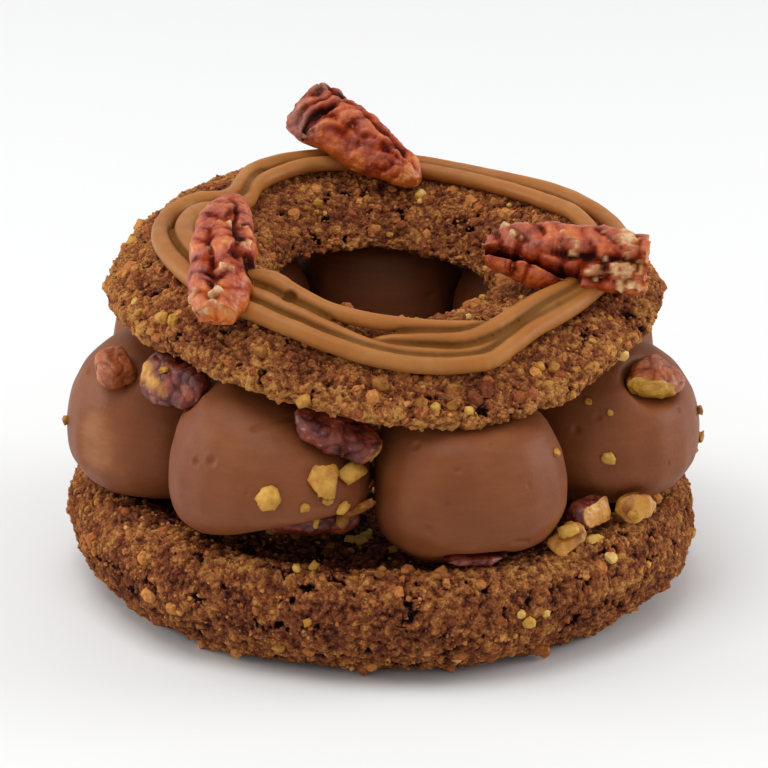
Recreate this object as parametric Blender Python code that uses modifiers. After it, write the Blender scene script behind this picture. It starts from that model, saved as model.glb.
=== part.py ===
"""A chocolate Paris-Brest for one: a crumbly base ring, seven balls of piped chocolate cream with pecan
pieces pressed between them, a tilted top ring, two merged loops of piped praline cream on it and three
candied pecans.

Metres, +Z up. The origin is the centre of the base ring's flat underside, and -Y is the front. An azimuth is
an angle round the Z axis from the front, positive towards +X.
"""

import math

import bmesh
import bpy
from mathutils import Euler, Matrix, Vector

MM = 0.001
GAP = 0.3 * MM  # what touching pieces keep between them

# Base ring: radius and height of each point, down the outer side, in along the underside and up the hole.
RING_STEPS = 36
BASE_PROFILE = [
    (43.0, 17.9), (46.8, 17.6), (49.6, 14.6), (50.5, 10.2), (49.2, 5.6), (45.6, 1.6), (42.0, 0.0),
    (17.0, 0.0), (14.8, 2.4), (14.5, 8.0), (15.4, 13.2), (18.5, 15.9), (30.0, 16.2), (39.0, 16.8),
]
BASE_RADIUS = max(radius for radius, _ in BASE_PROFILE) * MM
BASE_TOP_POINTS = 3  # the profile's first points, which with its last ones form the upper side
BASE_INNER_POINTS = 3
BASE_LOBES = ((2, 45, 0.5), (6, 15, 0.4))  # waves of the edge: how many, azimuth of a crest, depth in mm
# Where the crumble has sunk under the filling: azimuth and half of its span, radius and half width, depth in mm.
BASE_HOLLOW = (-8.0, 42.0, 35.0, 9.5, 4.4)

# Top ring, in its own tilted axes: height is over its underside.
TOP_PROFILE = [
    (30.5, 9.5), (34.0, 8.8), (37.5, 7.2), (41.0, 5.2), (43.4, 3.4), (44.1, 1.6), (43.0, 0.0),
    (30.0, 0.0), (19.0, 0.4), (17.2, 1.8), (18.4, 4.6), (21.6, 7.2), (26.0, 8.9),
]
TOP_TOP_POINTS = 6
TOP_INNER_POINTS = 4
TOP_LEAN = 0.35  # the crown lies further back, by this share of its height
TOP_LOBES = ((3, -10, 0.3), (7, 25, 0.4))
TOP_CENTRE_HEIGHT = 44.3 * MM
TOP_TILT = math.radians(7.5)
TOP_LOW_AZIMUTH = 20.0  # the side that the top ring leans down to
TOP_RADIUS = max(radius for radius, _ in TOP_PROFILE) * MM
DRAPE = (1.5 * MM, 2.0 * MM)  # how the edge lies over the balls: mean lift and wave
DRAPE_WAVES = 3
THICKNESS_WAVES = ((1, 0, 0.10), (2, 100, 0.12))  # how many, azimuth of a crest, share of the thickness

# Cream balls: azimuth, distance of the centre from the axis, half width, half length outwards, height of the
# widest level, height above it and below it, the roll about the outward axis in degrees, and how much flatter the
# side of the greater azimuth is, above the widest level and below it.
BALL_SEGMENTS, BALL_RINGS = 18, 11
BALL_SQUARENESS = 2.3
PRESS = 0.7 * MM  # how softly cream and nuts flatten against what they touch
BALLS = {
    "cream_left": (-78.0, 34.6, 16.2, 16.2, 25.6, 17.2, 9.6, 0.0, 0.0, 0.0),
    "cream_front_left": (-27.0, 34.4, 17.0, 15.6, 26.6, 14.6, 14.8, 3.0, 0.40, 1.10),
    "cream_front_right": (22.0, 33.6, 15.4, 15.6, 25.4, 16.2, 11.0, 0.0, 0.0, 0.0),
    "cream_right": (74.0, 35.3, 16.2, 16.2, 25.8, 16.2, 9.6, 0.0, 0.0, 0.0),
    "cream_back_right": (128.0, 34.6, 19.0, 15.8, 26.4, 25.0, 10.0, 0.0, 0.0, 0.0),
    "cream_back": (180.0, 34.4, 19.0, 15.6, 26.6, 26.5, 10.2, 0.0, 0.0, 0.0),
    "cream_back_left": (-129.0, 34.6, 19.0, 15.8, 26.4, 25.5, 10.0, 0.0, 0.0, 0.0),
}

# Praline cream: azimuth and radius of the points that each strand passes over, in the top ring's own axes.
STRAND_RADIUS = 2.0 * MM
STRAND_SIDES = 6
STRAND_GAP = 0.65 * MM  # under a strand, so that its flat sides clear the crust everywhere
STRAND_STEP = 7.5  # degrees of azimuth from one ring of a strand to the next
OUTER_STRAND = [
    (-180, 32.0), (-150, 32.4), (-136, 31.0), (-119, 27.6), (-109, 28.2), (-102, 32.2), (-90, 34.8), (-60, 36.6),
    (-30, 38.2), (20, 39.1), (46, 37.0), (85, 37.8), (130, 34.8), (180, 32.0),
]
INNER_STRAND = [
    (-6, 36.0), (8, 34.4), (29, 35.3), (45, 34.1), (72, 34.8), (94, 31.2), (122, 28.4), (180, 27.8),
    (212, 28.2), (228, 27.0), (242, 24.8), (254, 25.4), (266, 29.0), (280, 31.8), (305, 33.2), (330, 32.2),
]
FRONT_STRAND = [(-36, 32.8), (0, 31.2), (21, 34.0)]

# Pecans: the centre, the turns about X, Y and Z in degrees, half length, half width, how far the back and the
# underside lie from the centre, how much slimmer the far end of the local X axis is, and where along that axis
# each end is broken off flat. All lengths in millimetres.
NUT_SLIMMING = 2.3  # roundness of the ends
GROOVE_DEPTH, GROOVE_WIDTH = 0.24, 0.42  # of the groove along a pecan's back: share of its height, radians
DENT_GROWTH = 0.45 * MM  # how much wider than a nut the dent that it presses is
TOP_PECANS = {
    "pecan_top_back": ((-3.6, 31.0, 61.6), (0, 23, -31), 12.8, 5.4, 5.2, 3.4, 0.34, (-11.5, 13.0)),
    "pecan_top_right": ((28.8, -13.8, 56.6), (42, 5, -3), 12.8, 6.2, 4.4, 3.0, -0.12, (-13.0, 11.6)),
    "pecan_top_left": ((-24.2, -22.6, 58.6), (0, 25, -92), 13.4, 5.6, 4.6, 2.8, 0.0, (-12.6, 12.4)),
}
UPPER_PIECES = {
    "pecan_upper_1": ((-41.4, -17.4, 39.8), (10, 30, -60), 3.8, 3.2, 3.0, 2.6, 0.1, (-3.2, 3.0)),
    "pecan_upper_2": ((-31.5, -26.5, 41.0), (50, 5, -38), 6.6, 4.4, 3.2, 2.6, 0.15, (-6.6, 6.0)),
    "pecan_upper_3": ((-6.6, -39.4, 37.4), (38, 26, -4), 7.4, 4.0, 2.6, 2.2, 0.0, (-7.4, 6.6)),
    "pecan_upper_4": ((42.0, -17.2, 37.8), (36, -4, 55), 5.4, 4.2, 3.0, 2.6, 0.0, (-4.8, 4.8)),
    "pecan_upper_5": ((41.5, 12.0, 43.6), (-20, 0, 100), 5.2, 3.8, 2.6, 2.2, 0.1, (-5.0, 4.4)),
    "pecan_upper_6": ((16.5, 38.5, 45.6), (-25, 6, 155), 6.2, 4.2, 2.6, 2.2, 0.0, (-5.6, 6.0)),
    "pecan_upper_7": ((-20.5, 38.0, 46.0), (-24, -5, 205), 5.6, 4.0, 2.6, 2.2, 0.1, (-5.2, 5.2)),
}
LOWER_PIECES = {
    "pecan_lower_1": ((32.2, -29.8, 20.8), (20, 0, 40), 4.8, 3.0, 2.6, 2.2, 0.0, (-4.8, 3.6)),
    "pecan_lower_2": ((38.9, -26.2, 20.4), (0, -8, 52), 3.4, 2.8, 2.6, 2.4, 0.0, (-2.8, 2.8)),
    "pecan_lower_3": ((28.2, -37.2, 19.6), (0, -20, 42), 3.6, 2.2, 1.8, 1.6, 0.0, (-3.4, 2.8)),
    "pecan_lower_4": ((-11.0, -35.8, 23.2), (24, 0, -6), 8.8, 4.0, 3.0, 2.6, 0.1, (-8.8, 7.8)),
    "pecan_lower_5": ((14.2, -43.0, 18.4), (0, 0, 16), 5.4, 2.2, 1.3, 1.3, 0.0, (-5.4, 4.8)),
    "pecan_lower_6": ((42.0, 8.6, 19.8), (0, 6, 100), 5.0, 3.2, 2.4, 2.2, 0.0, (-4.6, 4.4)),
    "pecan_lower_7": ((18.0, 38.5, 19.8), (0, -6, 152), 4.8, 3.0, 2.4, 2.2, 0.1, (-4.4, 4.4)),
    "pecan_lower_8": ((-41.0, 10.5, 19.8), (0, 4, 256), 5.4, 3.4, 2.4, 2.2, 0.0, (-5.0, 4.6)),
}


def polar(azimuth, radius, height=0.0):
    """The point at an azimuth in degrees, a radius and a height."""
    turn = math.radians(azimuth)
    return Vector((radius * math.sin(turn), -radius * math.cos(turn), height))


def azimuth_of(point):
    return math.degrees(math.atan2(point.x, -point.y))


def waves(azimuth, terms):
    """The sum of waves round the axis, each given as a count, the azimuth of a crest and a height."""
    return sum(height * math.cos(math.radians(count * (azimuth - crest))) for count, crest, height in terms)


def between(value, pairs):
    """The height that a list of (radius, height) pairs, ordered by radius, gives at a radius."""
    if value <= pairs[0][0]:
        return pairs[0][1]
    for (near, low), (far, high) in zip(pairs, pairs[1:]):
        if value <= far:
            return low + (high - low) * (value - near) / (far - near)
    return pairs[-1][1]


def flowing(value, pairs):
    """As between, but along a smooth curve through the pairs."""
    last = len(pairs) - 1
    nearer = next((i for i in range(last) if value <= pairs[i + 1][0]), last - 1)
    slopes = []
    for i in (nearer, nearer + 1):
        before, after = pairs[max(i - 1, 0)], pairs[min(i + 1, last)]
        slopes.append((after[1] - before[1]) / (after[0] - before[0]))
    (start, low), (end, high) = pairs[nearer], pairs[nearer + 1]
    span = end - start
    share = (value - start) / span
    rise = share * share * (3 - 2 * share)
    bow = share * (1 - share) * span * (slopes[0] * (1 - share) - slopes[1] * share)
    return low + (high - low) * rise + bow


def upper_side(profile, outer_points, inner_points):
    """The part of a ring's profile that faces up, as pairs ordered by radius."""
    return sorted(profile[-inner_points:] + profile[:outer_points])


def base_top(point):
    """Height of the base ring's upper side under a point."""
    pairs = upper_side(BASE_PROFILE, BASE_TOP_POINTS, BASE_INNER_POINTS)
    return between(math.hypot(point.x, point.y) / MM, pairs) * MM


def top_placing():
    """From the top ring's own axes to the pastry's: leant towards its low side."""
    low_side = math.radians(TOP_LOW_AZIMUTH)
    across = Vector((math.cos(low_side), math.sin(low_side), 0))
    lean = Matrix.Rotation(TOP_TILT, 4, across)
    return Matrix.Translation((0, 0, TOP_CENTRE_HEIGHT)) @ lean


TOP_PLACING = top_placing()
TOP_UNPLACING = TOP_PLACING.inverted()


def drape(point):
    """How far the top ring is bent up or down at a point in its own axes."""
    lift, wave = DRAPE
    share = min(1.0, math.hypot(point.x, point.y) / TOP_RADIUS) ** 2
    turn = math.radians(DRAPE_WAVES * (azimuth_of(point) - TOP_LOW_AZIMUTH))
    return share * (lift - wave * math.cos(turn))


def thickness(azimuth):
    """The share of the top ring's drawn thickness that it has at an azimuth."""
    return 1 + waves(azimuth, THICKNESS_WAVES)


def under_top(point):
    """How far a point in the pastry's axes lies below the top ring's flat underside."""
    local = TOP_UNPLACING @ point
    return drape(local) - local.z


def crust_top(azimuth, radius, over=0.0):
    """A point over the top ring's upper side, in the pastry's axes. The radius is in metres."""
    pairs = upper_side(TOP_PROFILE, TOP_TOP_POINTS, TOP_INNER_POINTS)
    height = between(radius / MM, pairs) * MM * thickness(azimuth)
    local = polar(azimuth, radius, height)
    lift = drape(local) + over
    local.y += TOP_LEAN * height
    local.z += lift
    return TOP_PLACING @ local


def clear_scene():
    for old in list(bpy.data.objects):
        bpy.data.objects.remove(old)


def material(name, colour, roughness):
    made = bpy.data.materials.new(name)
    made.use_nodes = True
    shader = made.node_tree.nodes["Principled BSDF"]
    shader.inputs["Base Color"].default_value = (*colour, 1.0)
    shader.inputs["Roughness"].default_value = roughness
    return made


def add_object(name, mesh, finish, collection):
    mesh.materials.clear()
    mesh.materials.append(finish)
    mesh.shade_smooth()
    mesh.set_sharp_from_angle(angle=math.radians(50))
    made = bpy.data.objects.new(name, mesh)
    collection.objects.link(made)
    return made


def evaluated_mesh(source):
    """The mesh of an object with its modifiers applied. The object itself is removed."""
    bpy.context.view_layer.update()
    graph = bpy.context.evaluated_depsgraph_get()
    mesh = bpy.data.meshes.new_from_object(source.evaluated_get(graph))
    bpy.data.objects.remove(source)
    return mesh


def turned_mesh(profile):
    """A ring turned from a closed profile of (radius, height) pairs in millimetres."""
    outline = bpy.data.meshes.new("profile")
    points = [(radius * MM, 0.0, height * MM) for radius, height in profile]
    edges = [(i, (i + 1) % len(points)) for i in range(len(points))]
    outline.from_pydata(points, edges, [])
    turned = bpy.data.objects.new("turned", outline)
    bpy.context.scene.collection.objects.link(turned)
    screw = turned.modifiers.new("Screw", "SCREW")
    screw.steps = screw.render_steps = RING_STEPS
    screw.use_merge_vertices = True
    screw.merge_threshold = 0.01 * MM
    return evaluated_mesh(turned)


def lobed(point, lobes, share):
    """A point of a ring moved out and in with the azimuth, so that the ring isn't a true circle."""
    azimuth = azimuth_of(point)
    radius = math.hypot(point.x, point.y) + waves(azimuth, lobes) * MM * share
    return polar(azimuth, radius, point.z)


def sunk(point):
    """How far the base ring's upper side has sunk at a point."""
    middle, half_span, radius, half_width, depth = BASE_HOLLOW
    along = (azimuth_of(point) - middle) / half_span
    aside = (point.xy.length / MM - radius) / half_width
    return depth * MM * max(0.0, 1 - along**2) * max(0.0, 1 - aside**2)


def base_ring(finish, collection):
    mesh = turned_mesh(BASE_PROFILE)
    for vertex in mesh.vertices:
        if vertex.co.z > 12 * MM:
            vertex.co.z -= sunk(vertex.co)
        vertex.co = lobed(vertex.co, BASE_LOBES, vertex.co.xy.length / BASE_RADIUS)
    return add_object("base_ring", mesh, finish, collection)


def top_ring(finish, collection):
    mesh = turned_mesh(TOP_PROFILE)
    for vertex in mesh.vertices:
        point = lobed(vertex.co, TOP_LOBES, 1.0)
        height = point.z * thickness(azimuth_of(point))
        vertex.co = point + Vector((0, TOP_LEAN * height, height - point.z + drape(point)))
    mesh.transform(TOP_PLACING)
    return add_object("top_ring", mesh, finish, collection)


def pressed(distance):
    """A distance to a wall, kept above zero: far from the wall it stays as it is."""
    return PRESS * math.log1p(math.exp(min(distance / PRESS, 60.0)))


def side_walls():
    """For each ball, the upright planes halfway to its two neighbours, as normals that face the ball."""
    names = list(BALLS)
    azimuths = [BALLS[name][0] for name in names]
    walls = {}
    for i, name in enumerate(names):
        before = azimuths[i - 1] - (360 if i == 0 else 0)
        after = azimuths[(i + 1) % len(names)]
        for neighbour in (before, after):
            gap = (neighbour - azimuths[i] + 180) % 360 - 180
            halfway = azimuths[i] + gap / 2
            facing = -90 if gap > 0 else 90
            walls.setdefault(name, []).append(polar(halfway + facing, 1.0))
    return walls


def settled(point):
    """A point of a filling moved off the base ring's upper side and the top ring's underside."""
    over_base = point.z - base_top(point) + sunk(point) - GAP
    point.z += pressed(over_base) - over_base
    under = under_top(point) - GAP
    point.z -= pressed(under) - under
    return point


def cream_ball(name, walls, nuts, finish, collection):
    azimuth, distance, half_width, half_length, level, rise, drop, roll, taper, tuck = BALLS[name]
    placing = (
        Matrix.Translation(polar(azimuth, distance * MM, level * MM))
        @ Matrix.Rotation(math.radians(azimuth), 4, "Z")
        @ Matrix.Rotation(math.radians(roll), 4, "Y")
    )
    shape = bmesh.new()
    bmesh.ops.create_uvsphere(shape, u_segments=BALL_SEGMENTS, v_segments=BALL_RINGS, radius=1.0)
    for vertex in shape.verts:
        direction = vertex.co.normalized()
        halves = Vector((half_width, half_length, rise if direction.z > 0 else drop)) * MM
        reach = sum(abs(direction[i] / halves[i]) ** BALL_SQUARENESS for i in range(3))
        local = direction / reach ** (1 / BALL_SQUARENESS)
        aside = local.x / halves.x
        local.z *= 1 - taper * aside if local.z > 0 else 1 - tuck * (1 + aside) / 2
        point = placing @ local
        for normal in walls:
            distance_to_wall = point.dot(normal) - GAP / 2
            point += normal * (pressed(distance_to_wall) - distance_to_wall)
        vertex.co = settled(point)
    mesh = bpy.data.meshes.new(name)
    shape.to_mesh(mesh)
    shape.free()
    return add_object(name, hollowed(mesh, nuts), finish, collection)


def strand_mesh(points, closed):
    """A tube of round section along a row of points."""
    line = bpy.data.curves.new("strand", "CURVE")
    line.dimensions = "3D"
    line.bevel_depth = STRAND_RADIUS
    line.bevel_resolution = (STRAND_SIDES - 4) // 2
    line.use_fill_caps = not closed
    spline = line.splines.new("POLY")
    spline.points.add(len(points) - 1)
    for place, point in zip(spline.points, points):
        place.co = (*point, 1.0)
    spline.use_cyclic_u = closed
    tube = bpy.data.objects.new("strand", line)
    bpy.context.scene.collection.objects.link(tube)
    return evaluated_mesh(tube)


def strand_points(way, closed):
    """Points on the top ring, evenly spaced in azimuth, that a strand lying on it passes through."""
    first, last = way[0][0], way[-1][0]
    steps = round((last - first) / STRAND_STEP)
    azimuths = [first + (last - first) * i / steps for i in range(steps if closed else steps + 1)]
    over = STRAND_RADIUS + STRAND_GAP
    return [crust_top(azimuth, flowing(azimuth, way) * MM, over) for azimuth in azimuths]


def combined(mesh, other, operation):
    """A mesh joined with another one, or cut by it."""
    body = bpy.data.objects.new("body", mesh)
    tool = bpy.data.objects.new("tool", other)
    for used in (body, tool):
        bpy.context.scene.collection.objects.link(used)
    boolean = body.modifiers.new("Boolean", "BOOLEAN")
    boolean.solver = "EXACT"
    boolean.operation = operation
    boolean.object = tool
    result = evaluated_mesh(body)
    bpy.data.objects.remove(tool)
    return result


def touches(mesh, other):
    """Whether the boxes round two meshes overlap."""
    return all(
        min(v.co[i] for v in mesh.vertices) < max(v.co[i] for v in other.vertices)
        and min(v.co[i] for v in other.vertices) < max(v.co[i] for v in mesh.vertices)
        for i in range(3)
    )


def hollowed(mesh, nuts):
    """A mesh with dents where nuts are pressed into it."""
    for shape in nuts.values():
        dent = nut_mesh(shape, 10, 7, grow=DENT_GROWTH)
        if touches(mesh, dent):
            mesh = combined(mesh, dent, "DIFFERENCE")
    return mesh


def praline_rope(finish, collection):
    outer = strand_mesh(strand_points(OUTER_STRAND, True), True)
    inner = strand_mesh(strand_points(INNER_STRAND, False), False)
    front = strand_mesh(strand_points(FRONT_STRAND, False), False)
    rope = combined(combined(outer, inner, "UNION"), front, "UNION")
    return add_object("praline_rope", hollowed(rope, TOP_PECANS), finish, collection)


def nut_mesh(shape, segments, rings, grow=0.0, pressed_in=False):
    """A pecan half or a piece of one: long, domed, with a groove along its back and flat broken ends."""
    centre, turns, half_length, half_width, back, underside, taper, ends = shape
    turning = Euler([math.radians(turn) for turn in turns]).to_matrix().to_4x4()
    placing = Matrix.Translation(Vector(centre) * MM) @ turning
    body = bmesh.new()
    bmesh.ops.create_uvsphere(
        body, u_segments=segments, v_segments=rings, radius=1.0, matrix=Matrix.Rotation(math.radians(90), 4, "Y")
    )
    for vertex in body.verts:
        along = max(-1.0, min(1.0, vertex.co.x))
        across = math.atan2(vertex.co.y, vertex.co.z)
        girth = (1 - abs(along) ** NUT_SLIMMING) ** (1 / NUT_SLIMMING) * (1 - taper * along)
        height = back if math.cos(across) > 0 else underside
        groove = 1 - GROOVE_DEPTH * math.exp(-((across / GROOVE_WIDTH) ** 2))
        reach = max(-1.0, min(1.0, math.copysign(abs(along) ** 0.9, along))) * half_length
        point = placing @ Vector((
            min(max(reach, ends[0]), ends[1]) * MM + math.copysign(grow, along) * abs(along),
            math.sin(across) * (half_width * MM * girth + grow * min(1.0, girth * 3)),
            math.cos(across) * (height * groove * MM * girth + grow * min(1.0, girth * 3)),
        ))
        vertex.co = settled(point) if pressed_in else point
    mesh = bpy.data.meshes.new("nut")
    body.to_mesh(mesh)
    body.free()
    return mesh


def main():
    clear_scene()
    pastry = bpy.data.collections.new("paris_brest")
    bpy.context.scene.collection.children.link(pastry)
    crust = material("chocolate_crumble_crust", (0.15, 0.06, 0.025), 0.85)
    cream = material("chocolate_cream", (0.19, 0.085, 0.045), 0.55)
    praline = material("praline_cream", (0.36, 0.17, 0.07), 0.45)
    pecan = material("candied_pecan", (0.22, 0.05, 0.02), 0.4)

    base_ring(crust, pastry)
    top_ring(crust, pastry)
    walls = side_walls()
    pieces = UPPER_PIECES | LOWER_PIECES
    for name in BALLS:
        cream_ball(name, walls[name], pieces, cream, pastry)
    praline_rope(praline, pastry)
    for name, shape in TOP_PECANS.items():
        add_object(name, nut_mesh(shape, 14, 9), pecan, pastry)
    for name, shape in pieces.items():
        add_object(name, nut_mesh(shape, 10, 7, pressed_in=True), pecan, pastry)


main()
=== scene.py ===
"""A chocolate Paris-Brest for one, finished: crumble crust, piped chocolate cream, praline cream
and candied pecans, on a pale floor.

Metres, +Z up, the frame's own axes. -Y is the front. An azimuth is an angle round the Z axis from
the front, positive towards +X.
"""

import math

import bpy
import numpy as np
from mathutils import Euler, Matrix, Vector, noise
from mathutils.bvhtree import BVHTree


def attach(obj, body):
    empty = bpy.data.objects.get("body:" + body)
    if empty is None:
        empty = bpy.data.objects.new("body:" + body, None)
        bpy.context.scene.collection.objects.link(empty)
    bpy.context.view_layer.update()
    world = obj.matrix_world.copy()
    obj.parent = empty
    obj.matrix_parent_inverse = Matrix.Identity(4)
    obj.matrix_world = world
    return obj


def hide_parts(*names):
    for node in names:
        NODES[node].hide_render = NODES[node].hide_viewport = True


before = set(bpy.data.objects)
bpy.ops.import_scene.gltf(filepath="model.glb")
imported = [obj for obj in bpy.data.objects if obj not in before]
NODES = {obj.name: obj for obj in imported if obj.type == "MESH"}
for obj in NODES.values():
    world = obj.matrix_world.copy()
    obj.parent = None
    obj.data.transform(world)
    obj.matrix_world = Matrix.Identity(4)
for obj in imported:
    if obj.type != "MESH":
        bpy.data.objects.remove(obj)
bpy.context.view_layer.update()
MM = 0.001
PER_MM = 1000  # the scale of a pattern that repeats every millimetre
OUT_OF_REACH = 80 * MM  # a distance from the middle at which nothing of the pastry is left


# ---------------------------------------------------------------- working on pieces


def alone(piece):
    """Leaves one piece selected and active."""
    bpy.ops.object.select_all(action="DESELECT")
    piece.select_set(True)
    bpy.context.view_layer.objects.active = piece


def modify(piece, kind, **settings):
    """Adds a modifier, sets it and applies it."""
    alone(piece)
    modifier = piece.modifiers.new(kind, kind)
    for name, value in settings.items():
        setattr(modifier, name, value)
    bpy.ops.object.modifier_apply(modifier=modifier.name)


def in_edit(piece, *steps):
    """Runs edit-mode steps on the whole of a piece."""
    alone(piece)
    bpy.ops.object.mode_set(mode="EDIT")
    bpy.ops.mesh.select_all(action="SELECT")
    for step in steps:
        step()
    bpy.ops.object.mode_set(mode="OBJECT")


def copy_of(node, name):
    """A new piece with a CAD node's shape, its loose faces joined."""
    piece = bpy.data.objects.new(name, NODES[node].data.copy())
    bpy.context.scene.collection.objects.link(piece)
    in_edit(piece, lambda: bpy.ops.mesh.remove_doubles(threshold=0.01 * MM))
    return piece


def settle_place(piece):
    """Puts a piece's place, turn and scale into its mesh."""
    alone(piece)
    bpy.ops.object.transform_apply(location=True, rotation=True, scale=True)


def keep(piece, **marks):
    """Stores values on a mesh, one for each point, for the finishes to use."""
    for name, values in marks.items():
        piece.data.attributes.new(name, "FLOAT", "POINT").data.foreach_set("value", values)


def finish(piece, material, slot, *nodes, broken=False):
    """Gives a piece its finish and hides the CAD nodes it stands for. A broken surface keeps its
    facets."""
    piece.data.materials.clear()
    piece.data.materials.append(material)
    if broken:
        piece.data.shade_flat()
    else:
        piece.data.shade_smooth()
    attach(piece, "root")
    if nodes:
        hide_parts(*nodes)
    return piece


def points_of(piece):
    """The places of a mesh's points, one row each."""
    places = np.empty(len(piece.data.vertices) * 3)
    piece.data.vertices.foreach_get("co", places)
    return places.reshape(-1, 3)


def normals_of(piece):
    """The directions that a mesh's points face, one row each."""
    normals = np.empty(len(piece.data.vertices) * 3)
    piece.data.vertices.foreach_get("normal", normals)
    return normals.reshape(-1, 3)


def move_to(piece, places):
    """Moves a mesh's points to new places."""
    piece.data.vertices.foreach_set("co", np.ascontiguousarray(places, dtype=float).ravel())
    piece.data.update()


def polar(azimuth, radius, height=0.0):
    """The point at an azimuth in degrees, a radius and a height."""
    turn = math.radians(azimuth)
    return Vector((radius * math.sin(turn), -radius * math.cos(turn), height))


# ---------------------------------------------------------------- finishes


def colour(code):
    """An sRGB hex value as linear light."""
    parts = [int(code[i:i + 2], 16) / 255 for i in (1, 3, 5)]
    return (*(p / 12.92 if p <= 0.04045 else ((p + 0.055) / 1.055) ** 2.4 for p in parts), 1.0)


def add(tree, kind, inputs=None, stops=None, **options):
    """Adds a node: its options, the values or feeds of its inputs, and a ramp's colour stops."""
    node = tree.nodes.new(kind)
    for name, value in options.items():
        setattr(node, name, value)
    if stops:
        elements = node.color_ramp.elements
        while len(elements) < len(stops):
            elements.new(1.0)
        for element, (place, code) in zip(elements, stops):
            element.position, element.color = place, colour(code)
    for name, value in (inputs or {}).items():
        if isinstance(name, int):
            socket = [s for s in node.inputs if s.enabled][name]
        else:
            socket = next(s for s in node.inputs if s.enabled and s.name == name)
        if isinstance(value, bpy.types.Node):
            value = next(s for s in value.outputs if s.enabled)
        if isinstance(value, bpy.types.NodeSocket):
            tree.links.new(value, socket)
        else:
            socket.default_value = value
    return node


def new_finish(name, **shader):
    """A material and its shader, with the constant values set on the shader's own sockets."""
    made = bpy.data.materials.new(name)
    made.use_nodes = True
    tree = made.node_tree
    principled = tree.nodes["Principled BSDF"]
    for key, value in shader.items():
        principled.inputs[key.replace("_", " ")].default_value = value
    return made, tree, principled


def scaled(tree, value, by, onto):
    """A value times another, added onto a third."""
    return add(tree, "ShaderNodeMath", {0: value, 1: by, 2: onto}, operation="MULTIPLY_ADD")


def summed(tree, start, *shares):
    """A start value plus other values, each by its share."""
    for value, share in shares:
        start = scaled(tree, value, share, start)
    return start


def mark(tree, name):
    """A value that the mesh stores at its points."""
    return add(tree, "ShaderNodeAttribute", attribute_name=name).outputs["Fac"]


def mottling(tree, place, size, detail, roughness=0.5):
    """Soft noise with patches of a size in mm."""
    feeds = {"Vector": place, "Scale": PER_MM / size, "Detail": detail, "Roughness": roughness}
    return add(tree, "ShaderNodeTexNoise", feeds)


def ramp(tree, value, stops):
    """The colour that a value picks from a row of stops."""
    return add(tree, "ShaderNodeValToRGB", {"Fac": value}, stops=stops).outputs["Color"]


def blended(tree, share, under, over):
    """A colour laid over another by a share."""
    mixed = add(
        tree, "ShaderNodeMix", {"Factor": share, "A": under, "B": over}, data_type="RGBA"
    )
    return next(socket for socket in mixed.outputs if socket.enabled)


def bumped(tree, height, depth, strength, under=None):
    """Fine relief of a depth in mm, on top of a coarser one where there is one."""
    feeds = {"Height": height, "Distance": depth * MM, "Strength": strength}
    if under:
        feeds["Normal"] = under
    return add(tree, "ShaderNodeBump", feeds)


def dress(tree, shader, tint, relief):
    """Gives a shader its colour and its fine relief."""
    tree.links.new(tint, shader.inputs["Base Color"])
    tree.links.new(relief.outputs["Normal"], shader.inputs["Normal"])


def crumb_relief(tree, place):
    """Baked crumble: clumps of 3 mm made of grains of 1 mm, with open pores. Gives the height in
    mm, the grain's own tone from 0 to 1, and how deep in a pore a point is."""
    wander = mottling(tree, place, 3.0, 1.0)
    wander = add(
        tree, "ShaderNodeVectorMath", {0: wander.outputs["Color"], 1: (-0.5, -0.5, -0.5)},
        operation="ADD",
    )
    wander = add(tree, "ShaderNodeVectorMath", {0: wander, "Scale": 1.8 * MM}, operation="SCALE")
    place = add(tree, "ShaderNodeVectorMath", {0: place, 1: wander}, operation="ADD")
    clump = add(tree, "ShaderNodeTexVoronoi", {"Vector": place, "Scale": PER_MM / 3.4})
    grain = add(tree, "ShaderNodeTexVoronoi", {"Vector": place, "Scale": PER_MM / 1.15})
    crumb = mottling(tree, place, 1.1, 4.0, 0.72)
    pore = mottling(tree, place, 3.0, 2.5, 0.65)
    pore = add(
        tree, "ShaderNodeMapRange", {"Value": pore, "From Min": 0.59, "From Max": 0.72},
        interpolation_type="SMOOTHSTEP",
    )
    height = scaled(tree, clump.outputs["Distance"], -0.45, 0.18)
    grains = scaled(tree, grain.outputs["Distance"], -0.60, 0.26)
    crumbs = scaled(tree, crumb, 1.9, -0.95)
    height = add(tree, "ShaderNodeMath", {0: height, 1: grains}, operation="ADD")
    height = add(tree, "ShaderNodeMath", {0: height, 1: crumbs}, operation="ADD")
    height = scaled(tree, pore, -1.25, height)
    tone = add(tree, "ShaderNodeSeparateXYZ", {"Vector": grain.outputs["Color"]})
    return height, tone.outputs["X"], pore


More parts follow.
